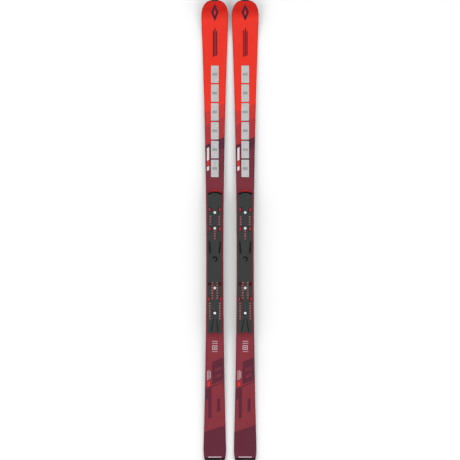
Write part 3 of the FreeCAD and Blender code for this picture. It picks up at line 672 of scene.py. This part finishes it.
# plain printed blocks, in millimetres: a colour and its outlines, the later ones over the earlier
MARKS = [
    # nose
    ("ink", [upright_rhombus(859, 15, 35)]),
    ("bright", [upright_rhombus(859, 5.5, 13)]),
    ("ink", [slanted(-8, -3.4, 686, 790), slanted(-1.6, 3.0, 686, 797), slanted(4.8, 9.4, 686, 783)]),
    # ahead of the plate
    ("white", [slanted(-31, -22.5, 287, 337), slanted(-31, -22.5, 247, 263)]),
    ("print_red", [slanted(-31, -22.5, 266, 284)]),
    # behind the plate
    ("pale", [level(-10, 12, -440.5, -438), level(-10, 12, -448.5, -446), level(-10, 12, -481, -479)]),
    ("pale", [level(-10, 10, -473, -455)]),
    ("burgundy", [level(-7, 7, -470, -458)]),
    ("pale", [level(-3.5, 3.5, -467, -461)]),
    # tail
    ("shadow", [slanted(-10.6, 40, -606, -517)]),
    ("plum", [slanted(1, 26, -562, -549), slanted(1, 26, -588, -575)]),
    ("shadow", [slanted(-45, 45, -616, -611)]),
    ("shadow", [slanted(-45, -13, -655, -616)]),
    ("shadow", [slanted(-26, -13, -734, -626)]),
    ("shadow", [slanted(9, 21.5, -724, -672)]),
    ("pale", [slanted(-30, -27.5, -580, -543), slanted(-24.5, -22, -580, -543)]),
    ("pale", [slanted(-19, -16.5, -577, -550)]),
    ("print_red", [slanted(-29, -19.5, -605, -588)]),
    ("pale", [level(-26, 26, -898.4, -894.4)]),
]
MARK_COLOURS = {
    "ink": INK,
    "white": WHITE,
    "print_red": PRINT_RED,
    "pale": PALE,
    "shadow": SHADOW_PLUM,
}

# a zone's material is followed by the one of its shoulder, a darker copy that is painted shade on the
# bevel
SKIN_MATERIALS, SKIN_INDEX = [], {}
for zone, _, colour, fade in ZONES:
    SKIN_INDEX[zone] = len(SKIN_MATERIALS)
    SKIN_MATERIALS.append(lacquer(f"skin_{zone}", colour, fade))
    shaded_shoulder_fade = (painted_shoulder_shade(fade[0]), *fade[1:]) if fade else None
    SKIN_MATERIALS.append(lacquer(f"skin_{zone}_shoulder", painted_shoulder_shade(colour), shaded_shoulder_fade))
for mark, colour in MARK_COLOURS.items():
    SKIN_INDEX[mark] = len(SKIN_MATERIALS)
    SKIN_MATERIALS.append(lacquer(f"print_{mark}", colour))


def windows(ski):
    """First and last station of each module's window."""
    boxes = [BOX[f"{ski}_module_{count}"] for count in MODULES]
    return [(low.y - WINDOW_GAP * MM, high.y + WINDOW_GAP * MM) for low, high in boxes]


def in_window(ski, y):
    return any(start - SAME < y < stop + SAME for start, stop in windows(ski))


def skin_rows(ski):
    """Rows of the skin's grid on the +X side, as plan points from the outline inwards."""
    points = outline_points(ski)
    tail, wide = points[0][1], max(points)[1]
    body_part = [spot for spot in points if spot[1] <= wide + SAME]
    nose = [spot for spot in points if spot[1] >= wide - SAME]
    width = smooth_line([y for _, y in body_part], [x for x, _ in body_part])
    travel = [0.0]
    for start, end in zip(nose, nose[1:]):
        travel.append(travel[-1] + math.dist(start, end))
    nose_x = smooth_line(travel, [x for x, _ in nose])
    nose_y = smooth_line(travel, [y for _, y in nose])

    stations = set(np.linspace(tail, wide, round((wide - tail) / (ROW_STEP * MM)) + 1))
    for window in windows(ski):
        stations |= set(window)
    insets = [inset * MM for inset, _ in SHOULDER]
    rows = [[(width(y) - inset, y) for inset in insets] for y in sorted(stations)]
    small = 0.1 * MM
    for i in range(1, NOSE_STEPS + 1):
        at = travel[-1] * i / NOSE_STEPS
        ahead, behind = min(at + small, travel[-1]), at - small
        run = Vector((nose_x(ahead) - nose_x(behind), nose_y(ahead) - nose_y(behind))).normalized()
        inward = Vector((-run.y, run.x)) if i < NOSE_STEPS else Vector((0, -1))
        rows.append([tuple(Vector((nose_x(at), nose_y(at))) + inward * inset) for inset in insets])
    return rows


def skin_grid(ski, bm, drop):
    """The skin's faces, laid out flat about the centre line, with the windows left open."""
    half = WINDOW_HALF * MM
    grid = []
    for row in skin_rows(ski):
        y = row[-1][1]
        plan = [(*spot, fall) for spot, (_, fall) in zip(row, SHOULDER)] + [(half, y, 0.0)]
        line = [(-x, y, fall) for x, y, fall in plan] + [(0.0, y, 0.0)] + list(reversed(plan))
        verts = []
        for x, y, fall in line:
            vert = bm.verts.new((x, y, 0))
            vert[drop] = fall * MM
            verts.append(vert)
        grid.append(verts)
    across = len(grid[0])
    centre_column = across // 2
    for low, high in zip(grid, grid[1:]):
        window = in_window(ski, (low[centre_column].co.y + high[centre_column].co.y) / 2)
        for i in range(across - 1):
            if not (window and i in (centre_column - 1, centre_column)):
                bm.faces.new((low[i], low[i + 1], high[i + 1], high[i]))


def cut_print(bm):
    """Cuts the flat skin along the steps between zones and round the printed blocks."""
    for _, (middle, rise), _, _ in ZONES[:-1]:
        ends = [(x * MM, (middle + x * rise) * MM) for x in (-HALF_SPAN, HALF_SPAN)]
        split_along(bm, ends, lambda spot, at=middle * MM: abs(spot.y - at) < STEP_REACH * MM)
    for _, outlines in MARKS:
        for outline in outlines:
            corners = [(x * MM, y * MM) for x, y in outline]
            rear = min(y for _, y in corners) - MARK_REACH * MM
            front = max(y for _, y in corners) + MARK_REACH * MM
            split_along(bm, corners, lambda spot, a=rear, b=front: a < spot.y < b)


def colour_print(bm, drop):
    """Gives each face its zone's ink, darker on the shoulder as painted shade, or that of the last block
    it lies in.
    """
    for face in bm.faces:
        spot = face.calc_center_median()
        for zone, (middle, rise), _, _ in ZONES:
            if spot.y > middle * MM + spot.x * rise:
                break
        on_shoulder = min(vert[drop] for vert in face.verts) > DECK_DROP * MM
        # shoulder faces take the zone's darker copy: painted shade on the bevel
        face.material_index = SKIN_INDEX[zone] + on_shoulder
        for mark, outlines in MARKS:
            if mark in MARK_COLOURS and on_shoulder and mark != "shadow":
                continue
            for outline in outlines:
                if inside([(x * MM, y * MM) for x, y in outline], spot):
                    face.material_index = SKIN_INDEX[mark]


def topsheet(ski):
    """The printed skin: a flat grid, cut along the print, lifted to the deck, and given its thickness."""
    deck, centre = deck_line(ski), centre_of(ski)
    bm = bmesh.new()
    drop = bm.verts.layers.float.new("drop")
    skin_grid(ski, bm, drop)
    cut_print(bm)
    colour_print(bm, drop)

    for vert in bm.verts:
        vert.co.z = deck(vert.co.y) - vert[drop]
        vert.co.x += centre
    open_edges = [edge for edge in bm.edges if edge.is_boundary]
    rim = [edge for edge in open_edges if min(vert[drop] for vert in edge.verts) > OUTLINE_DROP * MM]
    walls = bmesh.ops.extrude_edge_only(bm, edges=rim)
    for item in walls["geom"]:
        if isinstance(item, bmesh.types.BMVert):
            item.co.z -= (RIM_BOTTOM - SHOULDER[0][1]) * MM
    bmesh.ops.recalc_face_normals(bm, faces=bm.faces)
    name = f"{ski}_topsheet"
    piece = finish_piece(bm, f"{name}_skin", SKIN_MATERIALS, BODY[ski], [name], SKIN_ANGLE)
    solid = piece.modifiers.new("thickness", "SOLIDIFY")
    solid.thickness = SKIN * MM
    solid.offset = -1


# ---------------------------------------------------------------- shock modules


def module(ski, count):
    """Brushed plate with a polished rim and two grey eyes."""
    name = f"{ski}_module_{count}"
    low, high = BOX[name]
    centre = (low + high) / 2
    bm = welded(name, flat=True)
    rims = 2 * POLISHED_RIM * MM
    field = rectangle(centre.x, centre.y, high.x - low.x - rims, high.y - low.y - rims)
    split_along(bm, field)
    for face in bm.faces:
        in_field = face.normal.z > UPWARD and inside(field, face.calc_center_median())
        face.material_index = 0 if in_field else 1
    skins = [MATERIALS["module_steel"], MODULE_RIM]
    finish_piece(bm, f"{name}_plate", skins, name, [name])

    bm = bmesh.new()
    for side in (-1, 1):
        eye = rectangle(centre.x + side * EYE_SHIFT * MM, centre.y, EYE_WIDTH * MM, EYE_LENGTH * MM)
        bar(bm, eye, low.z + EYE_FOOT * MM, high.z - EYE_SINK * MM, bevel=0.5)
    finish_piece(bm, f"{name}_eyes", [MODULE_EYE], name)


# ---------------------------------------------------------------- binding plate and its fittings


def prismatic(ski, part, width):
    """A CAD piece with flat faces, its edges rounded."""
    name = f"{ski}_{part}"
    bm = welded(name, flat=True)
    soften(bm, width)
    slot = SLOT_OF[name]
    finish_piece(bm, f"{name}_shell", [MATERIALS[slot]], BODY[ski], [name])


def binding_plate(ski):
    """The plate's own shape, with painted shade on its sunken floors: dark grey in the shallow relief,
    black in the deeper recesses.
    """
    name = f"{ski}_binding_plate"
    top = BOX[name][1].z
    bm = welded(name)
    for face in bm.faces:
        depth = (top - face.calc_center_median().z) / MM
        # sunken level faces take painted shade, darker the deeper they lie
        if face.normal.z < UPWARD or depth < FACE_DEPTH:
            face.material_index = 0
        else:
            face.material_index = 1 if depth < RELIEF_DEPTH else 2
    skins = [MATERIALS["plate"], RECESS_SHADE_GREY, RECESS_SHADE_BLACK]
    finish_piece(bm, f"{name}_shell", skins, BODY[ski], [name])


def screws(ski):
    """Pointed shanks and pan heads, with a rounded rim and a hexagon socket."""
    name = f"{ski}_plate_screws"
    key = hexagon(KEY_SIZE)
    bm = bmesh.new()
    for centre, low, high in islands(name):
        foot = Vector((centre.x, centre.y, 0))
        head = (high.x - low.x) / 2 / MM
        top, bottom = high.z / MM, low.z / MM
        point = [(0.5, bottom), (2.6, bottom + 1.2), (SCREW_SHANK, bottom + 2)]
        seat = [(SCREW_SHANK, top - HEAD_HEIGHT), (head - 0.25, top - HEAD_HEIGHT), (head, top - 2.2)]
        dome = [(head, top - 1.0), (head - 0.35, top - 0.45), (head - 1.0, top - 0.12), (head - 1.9, top)]
        socket = [(key, top - 0.02), (key, top - SOCKET_DEPTH), (1.2, top - SOCKET_DEPTH - 0.05)]
        lathe(bm, foot, point + seat + dome + socket, steps=36)
    bmesh.ops.recalc_face_normals(bm, faces=bm.faces)
    finish_piece(bm, f"{name}_turned", [MATERIALS["bright_screw"]], BODY[ski], [name])


def bushes(ski):
    """Flanged bushes with a chamfered mouth and thread ridges in the bore."""
    name = f"{ski}_drill_bushes"
    bm = bmesh.new()
    for centre, low, high in islands(name):
        foot = Vector((centre.x, centre.y, 0))
        outer = (high.x - low.x) / 2 / MM
        top, bottom = high.z / MM, low.z / MM
        profile = [(BUSH_CREST, bottom), (outer, bottom), (outer, top - BUSH_BEVEL)]
        profile += [(outer - BUSH_BEVEL, top), (BUSH_CREST + THREAD_FROM, top)]
        for height in np.arange(top - THREAD_FROM, top - THREAD_TO, -THREAD_PITCH):
            profile += [(BUSH_CREST, height), (BUSH_CREST + THREAD_DEPTH, height - THREAD_PITCH / 2)]
        lathe(bm, foot, profile, steps=20, closed=True)
    bmesh.ops.recalc_face_normals(bm, faces=bm.faces)
    finish_piece(bm, f"{name}_turned", [MATERIALS["red_bush"]], BODY[ski], [name])


def rings(ski):
    """Black rings with a rounded lip, and a red insert in each; the rings' black is also painted shade
    for the countersunk recess, and the insert's darker red is painted shade deep in the bore.
    """
    name = f"{ski}_grommets"
    bm, inserts = bmesh.new(), bmesh.new()
    for centre, low, high in islands(name):
        foot = Vector((centre.x, centre.y, 0))
        outer = (high.x - low.x) / 2 / MM
        top, bottom = high.z / MM, low.z / MM
        outside = [(RING_BORE, bottom), (outer, bottom), (outer, top - RING_LIP), (outer - RING_LIP, top)]
        crown = [(outer - 1.4, top + 0.15), (outer - 2.2, top)]
        mouth = [(RING_BORE + 0.3, top - 0.4), (RING_BORE, top - 0.9)]
        lathe(bm, foot, outside + crown + mouth, closed=True)
        insert = [(INSERT_RADIUS, bottom - INSERT_REACH), (INSERT_RADIUS, top - 2.3)]
        insert += [(2.7, top - 1.9), (1.2, top - 1.8), (1.1, top - 2.3)]
        lathe(inserts, foot, insert, steps=24)
    for mesh in (bm, inserts):
        bmesh.ops.recalc_face_normals(mesh, faces=mesh.faces)
    finish_piece(bm, f"{name}_moulded", [MATERIALS["black_rubber"]], BODY[ski], [name])
    finish_piece(inserts, f"{ski}_ring_inserts", [RING_RED_SHADED], BODY[ski])


def plugs(ski):
    """Red plugs with rounded edges and three cross ribs."""
    name = f"{ski}_guide_plugs"
    bm = bmesh.new()
    for centre, low, high in islands(name):
        body = rectangle(centre.x, centre.y, high.x - low.x, high.y - low.y)
        bar(bm, body, low.z, high.z - PLUG_SINK * MM, bevel=0.5)
        for shift in RIB_SHIFTS:
            rib = rectangle(centre.x, centre.y + shift * MM, RIB_WIDTH * MM, RIB_LENGTH * MM)
            bar(bm, rib, high.z - RIB_HEIGHT * MM, high.z, bevel=0.25)
    finish_piece(bm, f"{name}_moulded", [MATERIALS["red_plug"]], BODY[ski], [name])


def scale_marks(ski):
    """Fine printed ticks beside the rows of bushes, on the side of the centre line."""
    bm = bmesh.new()
    top = BOX[f"{ski}_binding_plate"][1].z
    for centre, _, _ in islands(f"{ski}_drill_bushes"):
        side = centre.x - centre_of(ski)
        if abs(side) < MM:
            continue
        inward = -math.copysign(TICK_SHIFT * MM, side)
        tick = rectangle(centre.x + inward, centre.y, TICK_WIDTH * MM, TICK_LENGTH * MM)
        bar(bm, tick, top - TICK_FOOT * MM, top + TICK_TOP * MM)
    finish_piece(bm, f"{ski}_scale_marks", [SCALE_INK], BODY[ski])


# ---------------------------------------------------------------- pieces that keep their CAD shape


def rounded_copy(ski, part):
    """A curved CAD piece with smooth shading."""
    name = f"{ski}_{part}"
    slot = SLOT_OF[name]
    finish_piece(welded(name), f"{name}_smooth", [MATERIALS[slot]], BODY[ski], [name])


CURVED_PARTS = (
    "base",
    "outer_edge",
    "inner_edge",
    "outer_sidewall",
    "inner_sidewall",
    "lower_titanal",
    "tip_protector",
    "tail_protector",
)

for ski in SKIS:
    topsheet(ski)
    for count in MODULES:
        module(ski, count)
    binding_plate(ski)
    prismatic(ski, "plate_underlay", 0.3)
    # the front lip's black also stands for the shade on the plate's front wall: painted shade
    prismatic(ski, "plate_front_lip", 0.9)
    screws(ski)
    bushes(ski)
    rings(ski)
    plugs(ski)
    scale_marks(ski)
    for part in CURVED_PARTS:
        rounded_copy(ski, part)

# ---------------------------------------------------------------- floor, lights and camera

FLOOR_HALF, FLOOR_DROP = 30, 0.0005
SOFTBOX = (4.0, 3.0)
WALL_TOP, CEILING = 0.3, 0.95  # share of the way up where pale walls end, and where it is darkest
WORLD_STRENGTH = 1.7
VIEW_WIDTH = 1.8165  # what the frame spans at deck height, in metres
LENS, SENSOR = 1000, 36  # in millimetres


def floor():
    bm = bmesh.new()
    bmesh.ops.create_grid(bm, x_segments=8, y_segments=8, size=FLOOR_HALF)
    for vert in bm.verts:
        vert.co.z = -FLOOR_DROP
    mesh = bpy.data.meshes.new("floor")
    bm.to_mesh(mesh)
    bm.free()
    shader = Shader("floor", tint(252, 252, 252), 0.9, specular=0.1)
    shader.colour(shader.ramp(shader.noise(3, 3), tint(250, 250, 250), tint(254, 254, 254)))
    mesh.materials.append(shader.material)
    piece = bpy.data.objects.new("floor", mesh)
    bpy.context.scene.collection.objects.link(piece)


def soft_light(name, spot, power):
    """A softbox that faces the origin."""
    data = bpy.data.lights.new(name, "AREA")
    data.shape = "RECTANGLE"
    data.size, data.size_y = SOFTBOX
    data.energy = power
    light = bpy.data.objects.new(name, data)
    bpy.context.scene.collection.objects.link(light)
    light.location = spot
    light.rotation_euler = (-Vector(spot)).to_track_quat("-Z", "Y").to_euler()


def studio_world():
    """Pale walls all round and a darker ceiling, so that level gloss stays dark."""
    world = bpy.data.worlds.new("studio")
    world.use_nodes = True
    tree = world.node_tree
    split = tree.nodes.new("ShaderNodeSeparateXYZ")
    ramp = tree.nodes.new("ShaderNodeValToRGB")
    walls, ceiling = ramp.color_ramp.elements
    walls.position, walls.color = WALL_TOP, grey(1.0)
    ceiling.position, ceiling.color = CEILING, grey(0.1)
    background = tree.nodes["Background"]
    background.inputs["Strength"].default_value = WORLD_STRENGTH
    place = tree.nodes.new("ShaderNodeTexCoord")
    tree.links.new(place.outputs["Generated"], split.inputs[0])
    tree.links.new(split.outputs["Z"], ramp.inputs["Fac"])
    tree.links.new(ramp.outputs["Color"], background.inputs["Color"])
    bpy.context.scene.world = world


floor()
soft_light("left_softbox", (-3.4, 0.6, 4.2), 56)
soft_light("right_softbox", (3.4, -0.6, 4.2), 46)
studio_world()
bpy.context.scene.view_settings.view_transform = "Standard"

camera_data = bpy.data.cameras.new("camera")
camera_data.lens = LENS
camera_data.sensor_width = SENSOR
camera_data.clip_start, camera_data.clip_end = 1, 200
camera = bpy.data.objects.new("camera", camera_data)
camera.location = (0, 0, VIEW_WIDTH * LENS / SENSOR)
bpy.context.scene.collection.objects.link(camera)
bpy.context.scene.camera = camera
